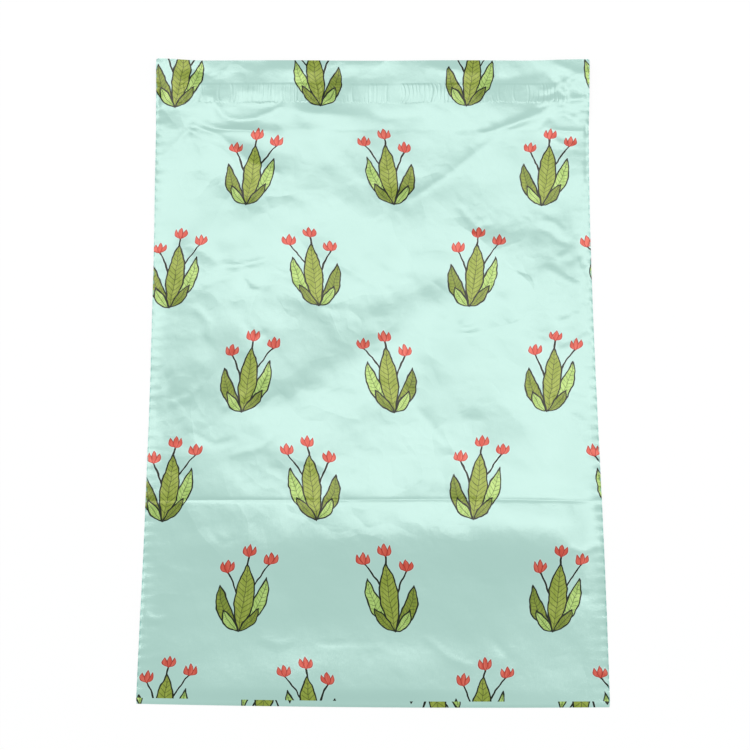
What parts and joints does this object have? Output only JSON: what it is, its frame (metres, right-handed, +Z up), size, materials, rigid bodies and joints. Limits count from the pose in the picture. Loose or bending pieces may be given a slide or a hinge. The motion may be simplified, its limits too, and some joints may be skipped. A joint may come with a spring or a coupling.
{
  "type": "poly mailer bag",
  "caption": "Flat poly mailer: a pocket of printed film with welded sides and a fold-over flap that seals with a glue strip under a peel-off liner.",
  "frame": {"origin": "on the surface the bag lies on, under the middle of its outline", "axes": "X across the bag, +Y from the bottom fold towards the flap, +Z up out of the printed back"},
  "size_m": [0.254, 0.3746, 0.005],
  "materials": {
    "printed_film": "satin printed polyethylene film",
    "hot_melt_glue": "clear tacky glue",
    "liner_film": "smooth release film"
  },
  "bodies": {
    "root": {"film_body": "printed_film", "adhesive_strip": "hot_melt_glue", "release_liner": "liner_film"}
  },
  "joints": []
}
